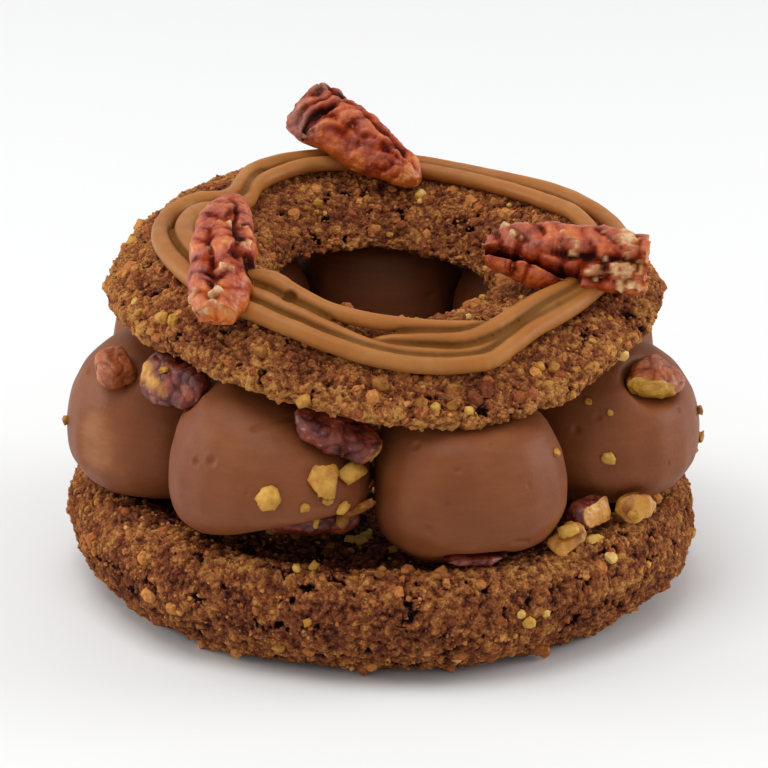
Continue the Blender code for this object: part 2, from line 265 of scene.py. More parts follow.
def crumb_modifier():
    """The relief of the crumble as a modifier: it moves the surface and keeps where each point
    was."""
    tree = bpy.data.node_groups.new("crumble relief", "GeometryNodeTree")
    tree.interface.new_socket("Geometry", in_out="INPUT", socket_type="NodeSocketGeometry")
    tree.interface.new_socket("Geometry", in_out="OUTPUT", socket_type="NodeSocketGeometry")
    shape = add(tree, "NodeGroupInput")
    place = add(tree, "GeometryNodeInputPosition").outputs["Position"]
    height, _, _ = crumb_relief(tree, place)
    kept = add(
        tree, "GeometryNodeStoreNamedAttribute",
        {"Geometry": shape.outputs[0], "Name": "unmoved", "Value": place},
        data_type="FLOAT_VECTOR", domain="POINT",
    )
    normal = add(tree, "GeometryNodeInputNormal")
    lump = scaled(tree, mottling(tree, place, 9.0, 1.0), 1.8, -0.9)
    rise = add(tree, "ShaderNodeMath", {0: height, 1: lump}, operation="ADD")
    rise = add(tree, "ShaderNodeMath", {0: rise, 1: 0.95 * MM}, operation="MULTIPLY")
    shift = add(tree, "ShaderNodeVectorMath", {0: normal, "Scale": rise}, operation="SCALE")
    moved = add(tree, "GeometryNodeSetPosition", {"Geometry": kept, "Offset": shift})
    add(tree, "NodeGroupOutput", {"Geometry": moved})
    return tree


CRUMBLE_TONES = [
    (0.0, "#1c0a06"), (0.14, "#451c0f"), (0.30, "#69341f"), (0.48, "#8c4c2a"), (0.66, "#ac6737"),
    (0.92, "#d6984f"),
]


def crumble_finish(name, browning_and_light):
    """Chocolate crumble baked to a dark brown: dry, broken, fat only in the grains, the grains
    brown. Painted shade makes the pores nearly black and the low places darker. Painted light makes
    the peaks lighter than the oven's gilt alone. The top ring's copy is painted lighter than the
    base's, as the light falls on them."""
    made, tree, shader = new_finish(name, Roughness=0.8, Specular_IOR_Level=0.12)
    place = add(tree, "ShaderNodeAttribute", attribute_name="unmoved").outputs["Vector"]
    height, tone, pore = crumb_relief(tree, place)
    speck = mottling(tree, place, 0.42, 3.0, 0.7)
    patch = mottling(tree, place, 7.0, 2.0)
    # Painted shade and light: height darkens the low places and lightens the peaks, and pores are
    # painted dark. The per-ring offset paints the top ring lighter than the base.
    shade = summed(
        tree, browning_and_light - 0.36, (height, 0.72), (pore, -0.25), (tone, 0.22), (patch, 0.60),
        (speck, 0.98), (mark(tree, "gilded"), 0.16),
    )
    bump = bumped(tree, speck, 0.5, 1.0, bumped(tree, height, 0.9, 0.9))
    dress(tree, shader, ramp(tree, shade, CRUMBLE_TONES), bump)
    return made


def crumb_finish():
    """Loose crumble: as the crust it broke off, each crumb a little lighter or darker."""
    made, tree, shader = new_finish(
        "loose_chocolate_crumble", Roughness=0.8, Specular_IOR_Level=0.12
    )
    place = add(tree, "ShaderNodeTexCoord").outputs["Object"]
    speck = mottling(tree, place, 0.6, 3.0, 0.65)
    patch = mottling(tree, place, 7.0, 2.0)
    shade = summed(tree, -0.19, (mark(tree, "tone"), 0.42), (patch, 0.50), (speck, 0.62))
    dress(tree, shader, ramp(tree, shade, CRUMBLE_TONES), bumped(tree, speck, 0.35, 0.8))
    return made


NUT_TONES = [
    (0.0, "#63340f"), (0.25, "#92591e"), (0.5, "#b37e30"), (0.75, "#c6963f"), (1.0, "#dab568"),
]


def nut_finish():
    """Chopped pecan: pale dry flesh that the oven has turned yellow to orange."""
    made, tree, shader = new_finish(
        "chopped_roasted_pecan", Roughness=0.5, Specular_IOR_Level=0.25
    )
    place = add(tree, "ShaderNodeTexCoord").outputs["Object"]
    speck = mottling(tree, place, 1.3, 3.0, 0.6)
    shade = summed(tree, -0.45, (speck, 0.9), (mark(tree, "tone"), 1.0))
    dress(tree, shader, ramp(tree, shade, NUT_TONES), bumped(tree, speck, 0.4, 0.6))
    return made


def cream_finish():
    """Whipped milk chocolate ganache, piped: soft satin, faintly streaked where the nozzle
    dragged it, with a smear that is paler than the rest."""
    made, tree, shader = new_finish(
        "whipped_milk_chocolate_ganache", Roughness=0.5, Specular_IOR_Level=0.2,
        Subsurface_Weight=0.05, Subsurface_Scale=1.0 * MM, Subsurface_Radius=(1.0, 0.4, 0.2),
    )
    place = add(tree, "ShaderNodeTexCoord").outputs["Object"]
    stretched = add(tree, "ShaderNodeMapping", {"Vector": place, "Scale": (1.0, 1.0, 3.5)})
    streak = mottling(tree, stretched, 5.0, 5.0, 0.62)
    cloud = mottling(tree, place, 9.0, 2.0)
    shade = summed(tree, 0.0, (streak, 0.45), (cloud, 0.55), (mark(tree, "smear"), 0.35))
    tint = ramp(
        tree, shade, [(0.30, "#733d20"), (0.5, "#7b4424"), (0.70, "#854d2a"), (1.0, "#9e6942")]
    )
    grain = mottling(tree, place, 0.7, 3.0)
    dress(tree, shader, tint, bumped(tree, grain, 0.12, 0.45, bumped(tree, streak, 0.25, 0.3)))
    return made


def praline_finish():
    """Piped praline paste: hazelnut brown and softly glossy, because it is mostly nut butter, with
    painted highlights on a strand's top and painted shade where two run together."""
    made, tree, shader = new_finish(
        "piped_praline_paste", Roughness=0.4, Subsurface_Weight=0.05,
        Subsurface_Scale=1.0 * MM, Subsurface_Radius=(1.0, 0.5, 0.25),
    )
    place = add(tree, "ShaderNodeTexCoord").outputs["Object"]
    cloud = mottling(tree, place, 7.0, 3.0)
    tint = ramp(tree, cloud, [(0.3, "#bb7a34"), (0.5, "#cc8d44"), (0.7, "#dda65f")])
    valley = mark(tree, "valley")
    bend = scaled(tree, valley, 0.5, 0.5)
    # Painted highlight on the ridges, painted shade in the grooves.
    ridge_light_and_valley_shade = ramp(tree, bend, [
        (0.0, "#f8ddb0"), (0.22, "#f0c890"), (0.42, "#dca058"), (0.58, "#a8652c"),
        (0.85, "#421d0a"),
    ])
    gloss = add(tree, "ShaderNodeMapRange", {"Value": valley, "To Min": 0.28, "To Max": 0.0})
    tree.links.new(gloss.outputs["Result"], shader.inputs["Specular IOR Level"])
    grain = mottling(tree, place, 1.6, 2.0)
    dress(tree, shader, blended(tree, 0.78, tint, ridge_light_and_valley_shade), bumped(tree, grain, 0.1, 0.3))
    return made


def pecan_finish(name, skin_tones, flesh_tones, dust_amount):
    """Candied pecan: rusty brown papery skin, painted darker in its folds as shade and lighter on
    its lobes as light, purple grey where the skin has lifted, broken flesh that shows orange, all
    under a thinly laid boiled-sugar glaze that has dried in beige lumps."""
    made, tree, shader = new_finish(name, Roughness=0.4, Coat_Roughness=0.2)
    place = add(tree, "ShaderNodeTexCoord").outputs["Object"]
    fold = mark(tree, "fold")
    skin = mottling(tree, place, 2.6, 4.0, 0.65)
    # Painted shade: the fold mark darkens wrinkles, valleys and hollows and lightens the lobes'
    # tops.
    shade = summed(tree, 0.04, (skin, 1.0), (fold, -0.48))
    tint = ramp(tree, shade, skin_tones)
    grey = ramp(
        tree, shade, [(0.0, "#331813"), (0.3, "#5f332a"), (0.6, "#855347"), (0.85, "#b08876")]
    )
    patch = mottling(tree, place, 5.0, 3.0)
    patch = add(tree, "ShaderNodeMapRange", {"Value": patch, "From Min": 0.36, "From Max": 0.58})
    greyed = add(
        tree, "ShaderNodeMath", {0: mark(tree, "bloom"), 1: patch}, operation="MULTIPLY"
    )
    tint = blended(tree, greyed, tint, grey)
    tint = blended(tree, mark(tree, "cut"), tint, ramp(tree, shade, flesh_tones))
    lump = ramp(tree, skin, [(0.35, "#a9683c"), (0.5, "#c28c5c"), (0.62, "#ddb88a")])
    tint = blended(tree, mark(tree, "sugar"), tint, lump)
    gloss = add(
        tree, "ShaderNodeMapRange",
        {"Value": fold, "From Max": 0.5, "To Min": 0.42, "To Max": 0.03},
    )
    tree.links.new(gloss.outputs["Result"], shader.inputs["Specular IOR Level"])
    coat = add(tree, "ShaderNodeMath", {0: gloss, 1: 0.6}, operation="MULTIPLY")
    tree.links.new(coat.outputs["Value"], shader.inputs["Coat Weight"])
    dust = mottling(tree, place, 1.1, 4.0, 0.7)
    dust = add(
        tree, "ShaderNodeMapRange",
        {"Value": dust, "From Min": 0.60, "From Max": 0.70, "To Max": dust_amount},
    )
    tint = blended(tree, dust, tint, colour("#c9a48a"))
    fine = mottling(tree, place, 0.7, 4.0, 0.65)
    dress(tree, shader, tint, bumped(tree, fine, 0.35, 0.7, bumped(tree, skin, 0.4, 0.4)))
    return made


# ---------------------------------------------------------------- crust


def crust(node, name, voxel, shows, relief, gilding_and_shade, finish_made):
    """A ring of crumble: the plain ring smoothed, made finer where it shows, then broken up by the
    relief. How far each point is gilt, and the painted shade under the filling, go with it."""
    piece = copy_of(node, name)
    modify(piece, "REMESH", mode="VOXEL", voxel_size=voxel)
    modify(piece, "SMOOTH", factor=0.5, iterations=5)
    for face in piece.data.polygons:
        face.select = shows(face.center, face.normal)
    alone(piece)
    bpy.ops.object.mode_set(mode="EDIT")
    bpy.ops.mesh.subdivide(number_cuts=1)
    bpy.ops.object.mode_set(mode="OBJECT")
    modify(piece, "NODES", node_group=relief)
    places = points_of(piece)
    places[:, 2] = np.maximum(places[:, 2], 0)
    move_to(piece, places)
    keep(piece, gilded=gilding_and_shade(places))
    return finish(piece, finish_made, "crust", node)


def crumb_shapes(kind, count, seed):
    """A few crumbs of about unit size, each modelled once: (points, triangles)."""

    def jitter(offset, own_seed):
        return lambda: bpy.ops.transform.vertex_random(
            offset=offset, uniform=0.0, normal=0.0, seed=own_seed
        )

    shapes = []
    for i in range(count):
        if kind == "grain":
            bpy.ops.mesh.primitive_ico_sphere_add(subdivisions=1, radius=0.5)
        else:
            bpy.ops.mesh.primitive_cube_add(size=0.85)
        piece = bpy.context.object
        steps = [jitter({"grain": 0.3, "chunk": 0.22, "flake": 0.34}[kind], seed + i)]
        if kind != "grain":
            steps.insert(0, lambda: bpy.ops.mesh.subdivide(number_cuts=1, smoothness=0.8))
        if kind == "flake":
            steps.append(lambda: bpy.ops.mesh.subdivide(number_cuts=2, smoothness=0.35))
            steps.append(jitter(0.055, seed + 40 + i))
        in_edit(piece, *steps, lambda: bpy.ops.mesh.quads_convert_to_tris())
        triangles = np.array([list(face.vertices) for face in piece.data.polygons])
        shapes.append((points_of(piece), triangles))
        mesh = piece.data
        bpy.data.objects.remove(piece)
        bpy.data.meshes.remove(mesh)
    return shapes


def random_turns(rng, count):
    """Turns in every direction, as matrices."""
    q = rng.normal(size=(count, 4))
    q /= np.linalg.norm(q, axis=1)[:, None]
    w, x, y, z = q.T
    return np.stack([
        np.stack([1 - 2 * (y * y + z * z), 2 * (x * y - w * z), 2 * (x * z + w * y)], -1),
        np.stack([2 * (x * y + w * z), 1 - 2 * (x * x + z * z), 2 * (y * z - w * x)], -1),
        np.stack([2 * (x * z - w * y), 2 * (y * z + w * x), 1 - 2 * (x * x + y * y)], -1),
    ], axis=1)


def mesh_of_bits(name, shapes, places, sizes, stretch, turns, tones, rng, browning_and_light=0.0):
    """One piece made of many copies of a few shapes, each a little darker at its edges by the
    browning it is given."""
    picks = rng.integers(len(shapes), size=len(places))
    points, triangles, tone, start = [], [], [], 0
    for k, (shape, faces) in enumerate(shapes):
        chosen = np.flatnonzero(picks == k)
        if not len(chosen):
            continue
        local = shape[None] * (sizes[chosen, None, None] * stretch[chosen][:, None, :])
        placed = np.einsum("nij,nmj->nmi", turns[chosen], local) + places[chosen][:, None, :]
        points.append(placed.reshape(-1, 3))
        edge = np.linalg.norm(shape, axis=1)
        edge = np.clip((edge / edge.max() - 0.6) / 0.4, 0, 1) * browning_and_light
        offsets = start + np.arange(len(chosen)) * len(shape)
        triangles.append((faces[None] + offsets[:, None, None]).reshape(-1, 3))
        tone.append((tones[chosen][:, None] - edge[None]).ravel())
        start += len(chosen) * len(shape)
    mesh = bpy.data.meshes.new(name)
    mesh.from_pydata(np.concatenate(points).tolist(), [], np.concatenate(triangles).tolist())
    piece = bpy.data.objects.new(name, mesh)
    bpy.context.scene.collection.objects.link(piece)
    keep(piece, tone=np.concatenate(tone))
    return piece


def strewn(name, ground, shapes, count, size, seed, sink):
    """Bits lying on a piece, nearly none underneath, the small ones far more common. They sink in
    by a share of their size."""
    rng = np.random.default_rng(seed)
    mesh = ground.data
    mesh.calc_loop_triangles()
    corners = np.empty(len(mesh.loop_triangles) * 3, dtype=int)
    mesh.loop_triangles.foreach_get("vertices", corners)
    corners = corners.reshape(-1, 3)
    points = points_of(ground)
    a, b, c = (points[corners[:, i]] for i in range(3))
    across = np.cross(b - a, c - a)
    area = np.linalg.norm(across, axis=1)
    normals = across / np.maximum(area, 1e-15)[:, None]
    weight = area * np.where(normals[:, 2] > -0.75, 1.0, 0.03)
    picked = rng.choice(len(area), size=count, p=weight / weight.sum())
    u, v = rng.random((2, count))
    over = u + v > 1
    u[over], v[over] = 1 - u[over], 1 - v[over]
    places = a[picked] + u[:, None] * (b - a)[picked] + v[:, None] * (c - a)[picked]
    sizes = size[0] + (size[1] - size[0]) * rng.random(count) ** 2.2
    places = places + normals[picked] * (sizes * (0.25 - sink))[:, None]
    stretch = rng.uniform(0.75, 1.15, size=(count, 3))
    tones = rng.random(count)
    return mesh_of_bits(name, shapes, places, sizes, stretch, random_turns(rng, count), tones, rng)


# ---------------------------------------------------------------- cream


# Pits left by air bubbles: azimuth, height, radius and depth.
BUBBLES = [
    (-35, 32.8, 0.8, 0.35), (-31.5, 33.6, 0.9, 0.4), (21, 36.4, 0.7, 0.3), (7, 36.0, 0.8, 0.35),
    (14, 33.6, 0.6, 0.3), (8.5, 24.4, 0.7, 0.3), (12, 28.8, 0.5, 0.25), (51, 32.2, 0.8, 0.35),
    (54, 34.2, 0.7, 0.3), (68, 33.4, 0.7, 0.3), (-76, 37.4, 1.0, 0.4), (-24, 30.0, 0.5, 0.25),
    (27, 30.4, 0.5, 0.25), (63, 26.0, 0.5, 0.25), (92, 31.0, 0.8, 0.35), (110, 27.0, 0.7, 0.3),
    (128, 36.0, 0.9, 0.4), (150, 30.0, 0.7, 0.3), (176, 34.0, 0.8, 0.35), (-168, 27.0, 0.7, 0.3),
    (-140, 33.0, 0.9, 0.4), (-120, 28.0, 0.7, 0.3), (-98, 30.0, 0.6, 0.3),
]
# Dents: azimuth and height of both ends, half width, depth, how pale the smear in it is.
DENTS = [
    ((-66.5, 27.2), (-67.0, 30.0), 3.6, 0.35, 1.0),
    ((-25.5, 38.2), (-20.0, 38.8), 0.5, 0.25, 0.0),
    ((24.5, 21.6), (27.5, 21.0), 0.35, 0.3, 0.0),
    ((118, 33.0), (126, 30.0), 2.6, 0.3, 0.5),
    ((-150, 28.0), (-145, 34.0), 2.2, 0.3, 0.4),
]


def on_side(piece, azimuth, height):
    """The point of a piece's outer side at an azimuth and a height."""
    start = polar(azimuth, OUT_OF_REACH, height * MM)
    hit, place, _, _ = piece.ray_cast(start, -polar(azimuth, 1.0))
    return np.array(place) if hit else None


def cream_ball(node, finish_made):
    """A ball of piped cream, rounded by its own softness, with the marks that it has."""
    piece = copy_of(node, node + "_piped")
    modify(piece, "REMESH", mode="VOXEL", voxel_size=0.8 * MM)
    modify(piece, "SMOOTH", factor=0.5, iterations=14)
    modify(piece, "SUBSURF", levels=1, render_levels=1)
    places, normals = points_of(piece), normals_of(piece)
    depth, smear = np.zeros(len(places)), np.zeros(len(places))
    for azimuth, height, radius, deep in BUBBLES:
        middle = on_side(piece, azimuth, height)
        if middle is None:
            continue
        near = np.linalg.norm(places - middle, axis=1) / (radius * MM)
        pit, lip = np.clip(1 - near ** 2, 0, 1), np.exp(-((near - 1.3) / 0.3) ** 2)
        depth += deep * MM * pit - 0.15 * deep * MM * lip
    for start, end, width, deep, pale in DENTS:
        a, b = on_side(piece, *start), on_side(piece, *end)
        if a is None or b is None:
            continue
        along = np.clip((places - a) @ (b - a) / ((b - a) @ (b - a)), 0, 1)
        near = np.linalg.norm(places - a - along[:, None] * (b - a), axis=1) / (width * MM)
        flat = 1 / (1 + np.exp((near - 1) * 7))
        depth += deep * MM * flat
        smear = np.maximum(smear, pale * flat)
    move_to(piece, places - normals * depth[:, None])
    keep(piece, smear=smear)
    return finish(piece, finish_made, "chocolate_cream", node)


# ---------------------------------------------------------------- praline cream

TOP_TILT = Matrix.Rotation(math.radians(7.5), 4, polar(110, 1.0))
TOP_PLACING = Matrix.Translation((0, 0, 44.3 * MM)) @ TOP_TILT
TOP_LEAN = 0.35  # the crown of the top ring lies further back, by this share of its height

# Each strand: azimuth and radius in the ring's own axes, radius of the strand and how high it lies.
OUTER_STRAND = [
    (-180, 31.8, 1.4, 0.1), (-150, 32.4, 1.4, 0.1), (-136, 31.0, 1.4, 0.3), (-119, 27.6, 1.5, 0.5),
    (-109, 28.2, 1.5, 0.6), (-102, 32.0, 1.6, 0.5), (-90, 34.8, 1.7, 0.3), (-60, 36.4, 1.7, 0.1),
    (-40, 37.8, 1.6, 0), (-25, 38.4, 1.5, 0.1), (-2, 38.7, 1.45, 0.1), (17, 39.0, 1.45, 0.1),
    (24, 39.0, 1.45, 0.1), (31, 37.7, 1.5, 0.1), (39, 36.6, 1.5, 0.2), (50, 36.6, 1.6, 0.1),
    (68, 37.3, 1.6, 0), (85, 37.6, 1.5, 0), (130, 34.4, 1.4, 0.1), (180, 31.8, 1.4, 0.1),
]
INNER_STRAND = [
    (-11, 36.9, 0.15, 0.2), (-4, 36.2, 0.6, 0.3), (1, 35.4, 1.0, 0.3), (10, 34.9, 1.25, 0.3),
    (20, 35.3, 1.4, 0.2), (28, 34.7, 1.5, 0.3), (35, 33.8, 1.5, 0.3), (45, 33.5, 1.6, 0.3),
    (58, 34.6, 1.6, 0.2), (72, 34.6, 1.5, 0), (91, 31.6, 1.4, 0.1), (114, 29.2, 1.35, 0.2),
    (142, 29.0, 1.35, 0.2), (165, 29.1, 1.35, 0.2), (180, 28.9, 1.35, 0.2), (205, 29.2, 1.35, 0.2),
    (216, 28.6, 1.35, 0.2), (228, 27.6, 1.4, 0.3), (242, 25.2, 1.4, 0.5), (254, 25.8, 1.4, 0.5),
    (266, 29.6, 1.6, 0.4), (280, 32.0, 1.7, 0.2), (305, 33.4, 1.7, 0.1), (320, 33.6, 1.6, 0),
]
FRONT_STRAND = [
    (-42, 33.8, 1.5, 0), (-33, 32.4, 1.8, 0.8), (-26, 32.7, 1.6, 0.8), (-16, 33.6, 1.4, 0.9),
    (-7, 33.6, 1.35, 1.0), (4, 33.1, 1.3, 0.9), (16, 33.2, 1.2, 0.7), (26, 33.5, 0.9, 0.5),
    (34, 33.8, 0.2, 0.2),
]
FILLING_STRAND = [
    (-50, 35.4, 1.3, 0), (-38, 35.4, 1.5, 0.1), (-27, 35.6, 1.5, 0), (-16, 36.0, 1.4, 0),
    (-4, 36.8, 1.3, -0.1), (10, 37.0, 1.3, -0.2), (20, 37.2, 1.2, -0.2), (30, 36.2, 1.1, 0),
    (38, 35.3, 1.0, 0), (46, 35.2, 0.3, 0),
]
RIGHT_STRAND = [
    (27, 36.6, 0.2, 0.0), (34, 35.8, 0.8, 0.4), (44, 35.2, 1.2, 0.6), (56, 36.0, 1.4, 0.5),
    (66, 36.4, 1.3, 0.3), (76, 36.6, 0.4, 0),
]


def flowing(value, pairs):
    """A smooth curve through (place, height) pairs, at a place."""
    last = len(pairs) - 1
    k = next((i for i in range(last) if value <= pairs[i + 1][0]), last - 1)
    slopes = []
    for i in (k, k + 1):
        before, after = pairs[max(i - 1, 0)], pairs[min(i + 1, last)]
        slopes.append((after[1] - before[1]) / (after[0] - before[0]))
    (start, low), (end, high) = pairs[k], pairs[k + 1]
    span = end - start
    share = (value - start) / span
    rise = share * share * (3 - 2 * share)
    bend = slopes[0] * (1 - share) - slopes[1] * share
    return low + (high - low) * rise + share * (1 - share) * span * bend


PLAIN_TOP_RING = BVHTree.FromPolygons(
    [vertex.co for vertex in NODES["top_ring"].data.vertices],
    [tuple(face.vertices) for face in NODES["top_ring"].data.polygons],
)


def on_crust(azimuth, radius, over):
    """A point over the plain top ring at an azimuth and a radius in the ring's own tilted axes,
    in mm."""
    axis = TOP_PLACING.to_3x3() @ Vector((0, 0, 1))
    height = 8 * MM
    for _ in range(4):
        start = polar(azimuth, radius * MM, 30 * MM) + Vector((0, TOP_LEAN * height, 0))
        hit, _, _, _ = PLAIN_TOP_RING.ray_cast(TOP_PLACING @ start, -axis)
        height = (TOP_PLACING.inverted() @ hit).z
    return hit + axis * over * MM


def strand(way, closed=False):
    """A strand as it leaves a round nozzle, lying on the crust."""
    line = bpy.data.curves.new("strand", "CURVE")
    line.dimensions, line.bevel_depth, line.bevel_resolution = "3D", 1.0 * MM, 5
    line.use_fill_caps = not closed
    first, last = way[0][0], way[-1][0]
    steps = round((last - first) / 2.5)
    azimuths = [first + (last - first) * i / steps for i in range(steps if closed else steps + 1)]
    spline = line.splines.new("POLY")
    spline.points.add(len(azimuths) - 1)
    spline.use_cyclic_u = closed
    for point, azimuth in zip(spline.points, azimuths):
        radius, thick, lift = (flowing(azimuth, [(p[0], p[k]) for p in way]) for k in (1, 2, 3))
        point.co = (*on_crust(azimuth, radius, thick * 0.8 + 0.3 + lift), 1.0)
        point.radius = thick
    piece = bpy.data.objects.new("strand", line)
    bpy.context.scene.collection.objects.link(piece)
    alone(piece)
    bpy.ops.object.convert(target="MESH")
    return piece


DIMPLES = [((-13.9, -28.9, 55.2), 1.3, 1.0)]  # pits in the rope: centre, radius and depth in mm


def praline_rope(finish_made):
    """The strands, run together where they touch."""
    strands = [strand(OUTER_STRAND, True)]
    strands += [strand(way) for way in (INNER_STRAND, FRONT_STRAND, FILLING_STRAND, RIGHT_STRAND)]
    piece = strands[0]
    piece.name = "praline_rope_piped"
    for other in strands[1:]:
        modify(piece, "BOOLEAN", operation="UNION", object=other, solver="EXACT")
        bpy.data.objects.remove(other)
    modify(piece, "REMESH", mode="VOXEL", voxel_size=0.27 * MM)
    modify(piece, "SMOOTH", factor=0.5, iterations=3)
    places, normals = points_of(piece), normals_of(piece)
    modify(piece, "SMOOTH", factor=0.5, iterations=16)
    inward = ((points_of(piece) - places) * normals).sum(axis=1) / MM
    edges = np.empty(len(piece.data.edges) * 2, dtype=int)
    piece.data.edges.foreach_get("vertices", edges)
    first, second = edges.reshape(-1, 2).T
    shared = np.bincount(edges, minlength=len(inward))
    count = len(inward)
    for _ in range(5):
        ahead = np.bincount(first, inward[second], count)
        behind = np.bincount(second, inward[first], count)
        inward = 0.3 * inward + 0.7 * (ahead + behind) / shared
    valley = np.clip((inward + 0.07) / 0.12, -1, 1)
    even = normals_of(piece)
    places -= even * (np.clip(valley, 0, 1) * 0.2 * MM)[:, None]
    for middle, radius, deep in DIMPLES:
        near = np.linalg.norm(places / MM - np.array(middle), axis=1) / radius
        hollow = np.clip(1 - near ** 2, 0, 1)
        places -= even * (hollow * deep * MM)[:, None]
        # Each dimple is painted dark as well, as painted shade.
        valley = np.maximum(valley, np.clip(hollow * 1.8, 0, 1) * 1.9 - 0.9)
    move_to(piece, places)
    # valley carries painted shade in the grooves and pits and painted highlight on the ridges.
    keep(piece, valley=valley)
    return finish(piece, finish_made, "praline_cream", "praline_rope")


# ---------------------------------------------------------------- pecans


def rough(places, size, seed):
    """Soft noise of a size in mm at places in mm, from about -0.5 to 0.5."""
    shift = Vector((3.7 * seed, 1.3 * seed, -2.1 * seed))
    return np.array([noise.noise(Vector(place) / size + shift) for place in places])


# The three on top, in millimetres and degrees: centre, turns about X, Y and Z, half lengths, half
# width, back, underside, how much slimmer the far end is, where the ends are broken off, the
# spacing and depth of the wrinkles, the valleys along it (angle at both ends, width, depth, from
# and to), and the hollows (both ends, half width, depth).
KERNELS = {
    "pecan_top_back": (
        (-3.6, 31.0, 61.6), (0, 23, -31), (16.5, 12.4), 5.6, 5.3, 3.4, 0.36,
        (-11.4, 12.0), 2.6, 0.34,
        [(16, 4, 10, 0.9, -12, 10), (-40, -30, 9, 0.45, -6, 9)],
        [((-7.4, -5.4), (-6.2, -2.2), 0.8, 1.8), ((-7.6, 0.4), (-7.2, 2.6), 0.6, 0.8)],
    ),
    "pecan_top_right": (
        (28.8, -13.8, 56.6), (42, 5, -3), (13.6, 24.0), 5.5, 4.2, 3.0, 0.0,
        (-12.8, 11.8), 3.6, 0.26,
        [(-18, -24, 10, 1.1, -3, 13), (-56, -60, 8, 0.5, -2, 12)],
        [((-12.6, -0.8), (-8.2, -2.2), 0.62, 3.4), ((-9.0, -1.9), (1.6, -4.6), 0.55, 3.2)],
    ),
    "pecan_top_left": (
        (-24.2, -22.6, 58.6), (0, 25, -92), (14.6, 14.4), 5.0, 4.7, 2.8, -0.04,
        (-13.2, 12.4), 3.1, 0.28,
        [(22, 34, 11, 1.0, -11, 3), (-26, -8, 10, 0.8, -4, 12)],
        [((1.2, 4.3), (4.2, 4.9), 1.0, 3.2)],
    ),
}
# Dried sugar on them: centres in millimetres and how far each patch reaches.
SUGAR = [
    ((37.8, -14.4, 59.7), 1.7), ((37.5, -18.3, 56.1), 2.4), ((32.4, -19.2, 55.6), 1.5),
    ((28.4, -14.9, 60.3), 0.9), ((29.1, -16.6, 58.8), 0.9), ((21.0, -14.0, 59.4), 1.4),
    ((34.0, -13.6, 60.5), 1.0), ((19.0, -12.0, 60.2), 1.2), ((-22.8, -19.9, 63.8), 1.3),
    ((-20.7, -22.7, 62.4), 1.2), ((-27.9, -31.8, 56.5), 1.1), ((-26.5, -34.0, 54.9), 1.2),
    ((-24.6, -33.5, 56.2), 1.3), ((-23.7, -29.2, 59.3), 0.9), ((-26.8, -24.0, 60.0), 1.0),
    ((-23.4, -14.6, 64.4), 1.0),
]


